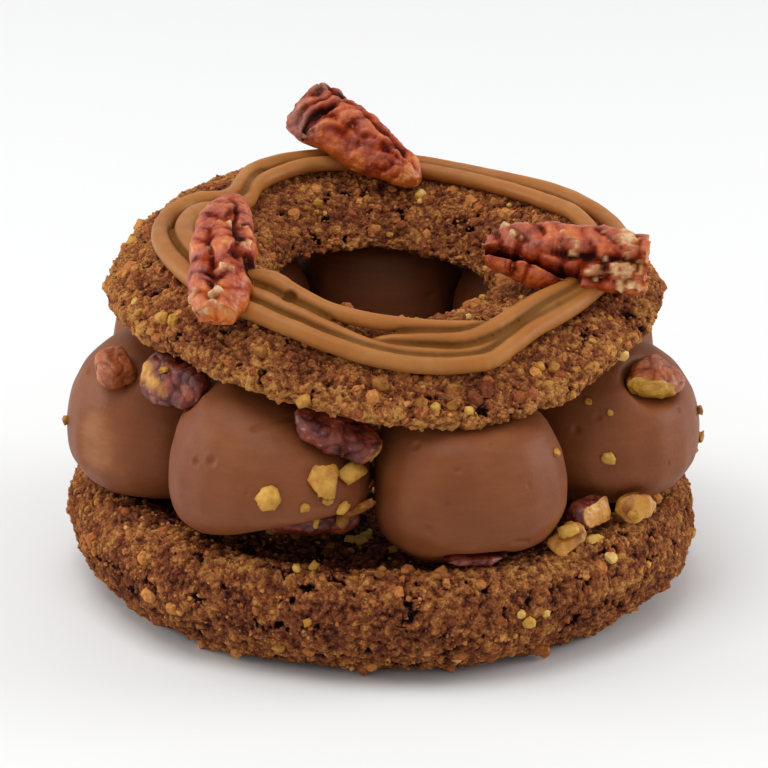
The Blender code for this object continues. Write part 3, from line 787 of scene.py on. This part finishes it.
def top_kernel(node, finish_made, seed):
    """A whole pecan half: lobes with valleys between them, wrinkled across and broken off at its
    ends."""
    (
        centre, turns, half_lengths, half_width, back, underside, taper, ends, spacing,
        wrinkle_depth, valleys, hollows,
    ) = KERNELS[node]
    bpy.ops.mesh.primitive_uv_sphere_add(
        segments=160, ring_count=130, radius=1.0, rotation=(0, math.pi / 2, 0)
    )
    piece = bpy.context.object
    piece.name = node + "_kernel"
    settle_place(piece)
    unit = points_of(piece)
    along = np.clip(unit[:, 0], -1, 1)
    across = np.arctan2(unit[:, 1], unit[:, 2])
    girth = (1 - np.abs(along) ** 2.3) ** (1 / 2.3) * (1 - taper * along)
    height = np.where(np.cos(across) > 0, back, underside)
    reach = np.sign(along) * np.abs(along) ** 0.9 * np.where(along < 0, *half_lengths)
    x = np.clip(reach, *ends)
    mm = np.stack([x, np.sin(across) * half_width * girth, np.cos(across) * height * girth], 1)
    broad, middle, small = rough(mm, 4.6, seed), rough(mm, 2.1, seed + 5), rough(mm, 0.9, seed + 9)
    patchy = np.clip(0.75 + 1.6 * rough(mm, 5.5, seed + 13), 0.15, 1.3)
    top_side = np.clip(np.cos(across) + 0.6, 0, 1)
    phase = (mm[:, 0] + 0.5 * np.abs(mm[:, 1]) + 2.2 * broad + 0.5 * middle) / spacing
    wrinkle = np.clip(0.5 + 0.5 * np.cos(2 * np.pi * phase), 0, 1) ** 2 * patchy * top_side
    valley = np.zeros(len(mm))
    for angle, end_angle, width, deep, start, end in valleys:
        share = np.clip((mm[:, 0] - start) / (end - start), 0, 1)
        aside = np.degrees(across) - (angle + (end_angle - angle) * share) - 14 * middle
        window = 1 / (1 + np.exp((start - mm[:, 0]) * 1.5)) / (1 + np.exp((mm[:, 0] - end) * 1.5))
        valley += deep * np.exp(-((aside / width) ** 2)) * window
    crinkle = np.clip(1 - np.abs(rough(mm * [2.0, 0.7, 0.7], 2.0, seed + 21)) * 5, 0, 1) * top_side
    lobes = 0.7 * broad + 0.20 * middle + 0.10 * small
    relief = lobes - wrinkle_depth * wrinkle - 0.16 * crinkle - valley
    out = np.stack([np.zeros(len(mm)), np.sin(across), np.cos(across)], 1)
    mm += out * (relief * np.clip(girth * 2.5, 0, 1))[:, None]
    clipped = np.clip((np.abs(reach) - np.abs(x)) / 0.3, 0, 1)
    mm[:, 0] += clipped * (0.8 * middle + 0.5 * small)
    deep = np.zeros(len(mm))
    for start, end, width, depth in hollows:
        a, b = np.array(start), np.array(end)
        share = np.clip((mm[:, :2] - a) @ (b - a) / ((b - a) @ (b - a)), 0, 1)
        near = np.linalg.norm(mm[:, :2] - a - share[:, None] * (b - a), axis=1) / width
        hollow = np.exp(-(near ** 6)) * (mm[:, 2] > -0.5)
        mm[:, 2] -= depth * hollow
        deep = np.maximum(deep, hollow)
    turning = Euler([math.radians(turn) for turn in turns]).to_matrix().to_4x4()
    placing = np.array(Matrix.Translation(Vector(centre) * MM) @ turning)
    placed = (mm * MM @ placing[:3, :3].T + placing[:3, 3]) / MM
    crumbly = rough(placed, 1.1, seed + 31)
    reaches = [
        1 - np.linalg.norm(placed - np.array(patch), axis=1) / reach for patch, reach in SUGAR
    ]
    sugar = 1 / (1 + np.exp(-(np.max(reaches, axis=0) - 0.2 + 1.5 * crumbly) * 14))
    mm += out * (sugar * (0.22 + 0.8 * crumbly))[:, None]
    move_to(piece, mm * MM @ placing[:3, :3].T + placing[:3, 3])
    # Painted shade in the wrinkles, valleys and hollows, and painted light on the lobes' tops.
    fold = 0.6 * wrinkle + 0.25 * crinkle + 0.9 * valley - 0.3 * broad - 0.22
    # The right pecan's skin is a deeper red, its own colour.
    darker = 0.14 if node == "pecan_top_right" else 0.04
    greyer = 0.85 if node == "pecan_top_back" else 0.2
    bared = np.clip((mm[:, 0] - 8.0) / 3.5, 0, 1) * np.clip(1 - clipped, 0, 1) * 0.5
    keep(
        piece,
        fold=np.clip(fold, -0.3, 1) + deep + darker,
        bloom=np.clip((-mm[:, 0] - 4.5) / 5.0, 0, 1) * greyer,
        sugar=sugar,
        cut=clipped * (mm[:, 0] > 0) + bared,
    )
    return finish(piece, finish_made, "candied_pecan", node)


# The side of each pressed-in piece that is broken open. The others have skin all round.
OPEN_SIDES = {
    "pecan_upper_2": (-0.9, -0.3, 0.2), "pecan_upper_3": (0.75, -0.5, -0.45),
    "pecan_upper_4": (0.1, -0.85, -0.5), "pecan_upper_5": (0.9, 0.2, -0.3),
    "pecan_upper_6": (0.5, 0.8, -0.3), "pecan_upper_7": (-0.6, 0.7, -0.3),
    "pecan_lower_1": (0.8, -0.5, 0.2), "pecan_lower_2": (0.2, -0.9, 0.3),
    "pecan_lower_3": (0.0, -0.7, 0.7), "pecan_lower_6": (0.9, 0.2, 0.2),
    "pecan_lower_7": (0.5, 0.8, 0.3), "pecan_lower_8": (-0.9, 0.2, 0.2),
}
OPEN_ALL_OVER = ("pecan_lower_2", "pecan_lower_3")
JUST_THE_TIP = ("pecan_upper_3", "pecan_upper_2")
LIGHTER = ("pecan_upper_1", "pecan_upper_4", "pecan_upper_5", "pecan_upper_6", "pecan_upper_7")


def pressed_piece(node, finish_made, seed):
    """A piece of pecan between the crusts: smooth skin with a few folds, and flat broken flesh."""
    piece = copy_of(node, node + "_kernel")
    modify(piece, "REMESH", mode="VOXEL", voxel_size=0.3 * MM)
    modify(piece, "SMOOTH", factor=0.5, iterations=3)
    places, normals = points_of(piece), normals_of(piece)
    mm = places / MM
    broad, middle, small = rough(mm, 3.4, seed), rough(mm, 2.2, seed + 5), rough(mm, 0.8, seed + 9)
    ridge = np.clip(1 - np.abs(middle) * 3.2, 0, 1) ** 2
    facing = Vector(OPEN_SIDES.get(node, (0, 0, 0)))
    cut = np.zeros(len(mm))
    if node in JUST_THE_TIP:
        cut = np.clip((normals @ np.array(facing.normalized()) - 0.78 + 0.35 * broad) * 7, 0, 1)
    elif facing.length:
        toward = np.array(facing.normalized())
        reach = (mm - mm.mean(axis=0)) @ toward + 0.8 * broad
        over = np.clip(reach - 0.32 * reach.max(), 0, None)
        cut = np.clip(over * 4, 0, 1)
        places -= toward * (over * 0.8 * MM)[:, None]
    if node in OPEN_ALL_OVER:
        cut = np.clip(0.8 + 0.8 * broad, 0, 1)
    flesh = 0.35 * cut * rough(mm, 1.3, seed + 15)
    relief = 0.7 * broad - 0.18 * ridge * (1 - cut) + 0.1 * small + flesh
    move_to(piece, places + normals * (relief * MM)[:, None])
    # Painted shade: the grooves and the low places are painted darker.
    keep(
        piece,
        fold=ridge * 0.35 * (1 - 0.7 * cut) + 0.3 * np.clip(-broad * 2, 0, 1),
        bloom=np.full(len(mm), 0.12),
        cut=cut,
    )
    return finish(piece, finish_made, "candied_pecan", node)


# ---------------------------------------------------------------- chopped nuts

# Chips stuck to the sides: azimuth, height, length, width, thickness, how far it is turned, tone
# from brown to pale.
SIDE_CHIPS = [
    (-20.0, 29.4, 3.6, 3.3, 2.2, 35, 0.72), (-11.2, 31.2, 5.4, 3.8, 2.6, 80, 0.62),
    (-6.6, 31.4, 4.6, 3.0, 2.4, 10, 0.70), (-5.0, 26.4, 6.4, 2.4, 1.6, 84, 0.24),
    (-8.6, 24.2, 5.2, 1.9, 1.5, 70, 0.30), (-10.3, 28.8, 1.7, 1.4, 1.2, 0, 0.6),
    (-7.6, 27.4, 2.2, 1.5, 1.2, 40, 0.7), (-14.0, 23.4, 2.6, 0.8, 0.7, 75, 0.7),
    (-13.8, 28.2, 1.5, 1.2, 1.0, 0, 0.5), (53.4, 28.2, 2.0, 1.9, 1.3, 0, 0.75),
    (54.5, 36.2, 1.2, 0.9, 0.8, 0, 0.45), (55.8, 34.8, 1.0, 0.9, 0.7, 0, 0.5),
    (35.5, 33.0, 1.3, 1.1, 0.9, 20, 0.55), (78.6, 30.2, 1.8, 1.4, 1.1, 0, 0.3),
    (80.5, 25.2, 2.0, 1.4, 1.2, 30, 0.55), (81.0, 22.8, 1.5, 1.2, 1.0, 0, 0.5),
    (-79.2, 28.4, 1.6, 1.4, 1.1, 0, 0.45), (37.0, 20.6, 3.4, 2.0, 1.8, 20, 0.85),
]
# Chips lying on the rings: azimuth, radius, then as above.
TOP_CHIPS = [
    (-15.6, 43.4, 2.3, 1.9, 1.4, 30, 0.5), (10.7, 41.8, 1.7, 1.6, 1.2, 0, 0.72),
    (17.8, 42.2, 1.5, 1.3, 1.1, 0, 0.75), (-0.2, 39.6, 2.6, 2.0, 1.4, 20, 0.28),
    (8.2, 41.8, 2.2, 1.8, 1.4, 0, 0.3), (14.6, 41.8, 1.8, 1.6, 1.2, 40, 0.32),
    (-26.4, 40.6, 2.2, 1.8, 1.4, 10, 0.3), (36.6, 39.6, 1.9, 1.4, 1.2, 0, 0.55),
    (39.8, 40.4, 1.8, 1.5, 1.2, 50, 0.42), (-101.5, 40.5, 2.0, 1.6, 1.2, 0, 0.6),
    (-61.4, 42.2, 1.6, 1.4, 1.0, 0, 0.55), (-54.4, 43.0, 1.4, 1.2, 1.0, 0, 0.5),
    (-53.8, 41.2, 2.2, 1.9, 1.4, 0, 0.60), (-50.0, 43.0, 1.6, 1.3, 1.0, 30, 0.55),
    (41.6, 43.0, 1.5, 1.3, 1.0, 0, 0.5), (165.8, 26.0, 2.0, 1.7, 1.4, 0, 0.95),
    (165.0, 24.6, 1.0, 0.9, 0.8, 0, 0.9),
]
# Chips on the base ring between the balls: azimuth, radius, then as above.
BASE_CHIPS = [
    (-15.9, 43.2, 1.8, 1.3, 1.0, 0, 0.8), (-13.4, 43.0, 1.7, 1.3, 1.0, 30, 0.75),
    (-16.4, 35.4, 1.6, 1.3, 1.0, 0, 0.7), (-11.2, 39.0, 2.0, 1.3, 1.1, 10, 0.82),
    (-7.5, 38.6, 2.2, 1.5, 1.1, 0, 0.78), (-5.4, 36.6, 2.0, 1.4, 1.2, 40, 0.7),
    (3.5, 42.2, 1.6, 1.2, 1.0, 0, 0.8), (5.4, 39.6, 1.4, 1.1, 0.9, 0, 0.7),
    (-0.4, 45.3, 1.6, 1.3, 1.0, 0, 0.25), (9.8, 47.2, 1.6, 1.3, 1.0, 0, 0.28),
    (-85.0, 47.8, 1.7, 1.5, 1.2, 0, 0.45), (45.0, 45.0, 3.0, 1.6, 1.2, 10, 0.9),
    (54.0, 34.5, 1.8, 1.4, 1.1, 0, 0.6), (-30.0, 40.0, 1.5, 1.2, 1.0, 0, 0.4),
    (87.0, 48.5, 1.8, 1.4, 1.1, 0, 0.4), (100.0, 47.5, 1.8, 1.4, 1.1, 0, 0.6),
    (155.0, 44.5, 2.2, 1.6, 1.2, 20, 0.7), (-150.0, 45.0, 2.0, 1.5, 1.2, 60, 0.6),
]


def chips(name, shapes, entries, ray, finish_made, seed):
    """Chips, each laid flat where a ray from outside meets the pastry."""
    graph = bpy.context.evaluated_depsgraph_get()
    places, sizes, stretch, turns, tones = [], [], [], [], []
    for azimuth, value, length, width, thick, turn, tone in entries:
        start, direction = ray(azimuth, value * MM)
        hit, place, normal, _, _, _ = bpy.context.scene.ray_cast(graph, start, direction)
        if not hit:
            continue
        level = abs(normal.z) >= 0.95
        side = Vector((1, 0, 0)) if level else normal.cross(Vector((0, 0, 1))).normalized()
        frame_of_chip = Matrix((side, normal.cross(side), normal)).transposed()
        turns.append(np.array(frame_of_chip @ Matrix.Rotation(math.radians(turn), 3, "Z")))
        places.append(np.array(place + normal * thick * 0.22 * MM))
        sizes.append(0.8 * MM)
        stretch.append((length, width, thick))
        tones.append(tone)
    rng = np.random.default_rng(seed)
    rows = [np.array(values) for values in (places, sizes, stretch, turns, tones)]
    piece = mesh_of_bits(name, shapes, *rows, rng, browning_and_light=0.22)
    return finish(piece, finish_made, "candied_pecan")


# ---------------------------------------------------------------- making it

# In millimetres: radius where each ring's rim starts, height of the base's rim, radius that the
# filling reaches, inside which the base is painted in shade, and how far each of these fades.
TOP_RIM, BASE_RIM, BASE_RIM_HEIGHT, FILLING_RIM, EDGE_FADE = 40.5, 44.0, 13.5, 43.0, 2.5


def past(values, start):
    """From 0 at a start in mm to 1 where the values are further than a short fade past it."""
    return np.clip((values - start) / EDGE_FADE, 0, 1)


def edge_of_top(places):
    """How far the top ring is gilt: its rim, where it caught the heat."""
    turned = np.array(TOP_PLACING.inverted())
    local = (places @ turned[:3, :3].T + turned[:3, 3]) / MM
    return past(np.hypot(local[:, 0], local[:, 1]), TOP_RIM)


def edge_of_base(places):
    """How far the base is gilt: its upper rim. Under the filling it is painted darker, as painted
    shade.
    """
    radius = np.hypot(places[:, 0], places[:, 1]) / MM
    rim = past(places[:, 2] / MM, BASE_RIM_HEIGHT) * past(radius, BASE_RIM)
    # Painted shade: inside the filling's reach the base is painted darker.
    return 0.7 * rim - 1.4 * past(-radius, -FILLING_RIM)


def base_shows(place, normal):
    """Whether a place on the base is seen, rather than covered by the filling or the floor."""
    return place.z > 0.8 * MM and place.xy.length > 41 * MM


def top_shows(place, normal):
    """Whether a place on the top ring is seen, rather than facing down."""
    return normal.z > -0.4


def ray_from_side(azimuth, height):
    """A level ray towards the axis."""
    return polar(azimuth, OUT_OF_REACH, height), -polar(azimuth, 1.0)


def ray_from_above(azimuth, radius):
    """A ray straight down."""
    return polar(azimuth, radius, 90 * MM), Vector((0, 0, -1))


def ray_under_cream(azimuth, radius):
    """A ray that comes in low between the balls and ends on the base ring."""
    start = polar(azimuth, OUT_OF_REACH, 21 * MM + (OUT_OF_REACH - radius) * 0.12)
    return start, (polar(azimuth, radius, 17 * MM) - start).normalized()


def main():
    """Every piece of the pastry, in the order it is put together."""
    relief = crumb_modifier()
    # One crumble in two copies, with painted shade and light: the base's is painted darker and the
    # top ring's lighter.
    base = crust(
        "base_ring", "base_ring_crumble", 0.79 * MM, base_shows, relief, edge_of_base,
        crumble_finish("chocolate_crumble_base", 0.03),
    )
    top = crust(
        "top_ring", "top_ring_crumble", 0.67 * MM, top_shows, relief, edge_of_top,
        crumble_finish("chocolate_crumble_gilded", 0.085),
    )
    crumb = crumb_finish()
    nut = nut_finish()
    grains = crumb_shapes("grain", 6, 3)
    chunks = crumb_shapes("chunk", 6, 23)

    # Kind of bit, shapes, how many, smallest and largest in mm, seed, how deep they sink, finish.
    kinds = (
        ("_crumbs", grains, 6500, 0.3, 0.95, 5, 0.38, crumb, "crust"),
        ("_clumps", chunks, 300, 0.9, 2.2, 15, 0.46, crumb, "crust"),
        ("_nut_bits", chunks, 60, 0.6, 1.6, 25, 0.2, nut, "candied_pecan"),
    )
    for other, (ring, ground) in enumerate((("base", base), ("top", top))):
        for kind, shapes, count, small, large, seed, sink, made, slot in kinds:
            sizes = (small * MM, large * MM)
            bits = strewn(ring + kind, ground, shapes, count, sizes, seed + other, sink)
            finish(bits, made, slot, broken=True)

    cream = cream_finish()
    for node in sorted(n for n in NODES if n.startswith("cream_")):
        cream_ball(node, cream)
    praline_rope(praline_finish())
    skin = pecan_finish(
        "candied_pecan_skin",
        [
            (0.06, "#2e0c07"), (0.28, "#702009"), (0.50, "#a43f14"), (0.70, "#c6621f"),
            (0.92, "#e6a058"),
        ],
        [(0.1, "#8f3a10"), (0.4, "#b9551a"), (0.6, "#cf7427"), (0.85, "#e0a050")], 0.35,
    )
    dark_skin = pecan_finish(
        "dark_candied_pecan_skin",
        [(0.12, "#200807"), (0.38, "#50180e"), (0.60, "#7c2b16"), (0.85, "#a8552c")],
        [(0.1, "#753b10"), (0.35, "#a86619"), (0.6, "#c68c2a"), (0.85, "#dcac4a")], 0.4,
    )
    chunk_skin = pecan_finish(
        "candied_pecan_chunk",
        [(0.12, "#501d0b"), (0.38, "#8c421a"), (0.60, "#ae5c27"), (0.85, "#c8844a")],
        [(0.1, "#925412"), (0.35, "#b9802c"), (0.6, "#cf9c38"), (0.85, "#e2bd62")], 0.25,
    )
    for seed, node in enumerate(KERNELS):
        top_kernel(node, skin, seed)
    pressed = sorted(n for n in NODES if n.startswith(("pecan_upper", "pecan_lower")))
    for seed, node in enumerate(pressed):
        pressed_piece(node, chunk_skin if node in LIGHTER else dark_skin, seed + 20)

    flakes = crumb_shapes("flake", 8, 61)
    chips("side_chips", flakes, SIDE_CHIPS, ray_from_side, nut, 71)
    chips("ring_chips", flakes, TOP_CHIPS, ray_from_above, nut, 72)
    chips("base_chips", flakes, BASE_CHIPS, ray_under_cream, nut, 73)


def studio():
    """A pale floor under soft light from above, and the camera."""
    bpy.ops.mesh.primitive_plane_add(size=4.0)
    floor = bpy.context.object
    floor.name = "floor"
    made, _, _ = new_finish(
        "pale_floor", Base_Color=colour("#e6e7e7"), Roughness=0.6, Specular_IOR_Level=0.2
    )
    floor.data.materials.append(made)
    world = bpy.data.worlds.new("soft room")
    bpy.context.scene.world = world
    world.use_nodes = True
    room = world.node_tree.nodes["Background"].inputs
    room["Color"].default_value, room["Strength"].default_value = colour("#fcfbfb"), 0.66
    for name, place, size, power in (
        ("softbox_above", (-0.30, -0.20, 1.45), 1.0, 10.8),
        ("softbox_left", (-0.80, 0.10, 0.28), 0.4, 2.7),
        ("softbox_right", (0.80, 0.10, 0.28), 0.4, 3.0),
    ):
        light = bpy.data.lights.new(name, "AREA")
        light.size = size
        light.energy = power
        lamp = bpy.data.objects.new(name, light)
        lamp.location = place
        way = Vector((0, 0, 30 * MM)) - lamp.location
        lamp.rotation_euler = way.to_track_quat("-Z", "Y").to_euler()
        bpy.context.scene.collection.objects.link(lamp)

    lens = bpy.data.cameras.new("camera")
    lens.sensor_width, lens.lens = 36.0, 175.8
    lens.shift_x, lens.shift_y = 0.0026, 0.0230
    lens.clip_end = 10.0
    camera = bpy.data.objects.new("camera", lens)
    bpy.context.scene.collection.objects.link(camera)
    aim, tilt, away = Vector((0, 0, 28 * MM)), math.radians(20), 600 * MM
    camera.location = aim + Vector((0, -math.cos(tilt), math.sin(tilt))) * away
    camera.rotation_euler = (aim - camera.location).to_track_quat("-Z", "Y").to_euler()
    bpy.context.scene.camera = camera
    bpy.context.scene.view_settings.view_transform = "Standard"


main()
studio()
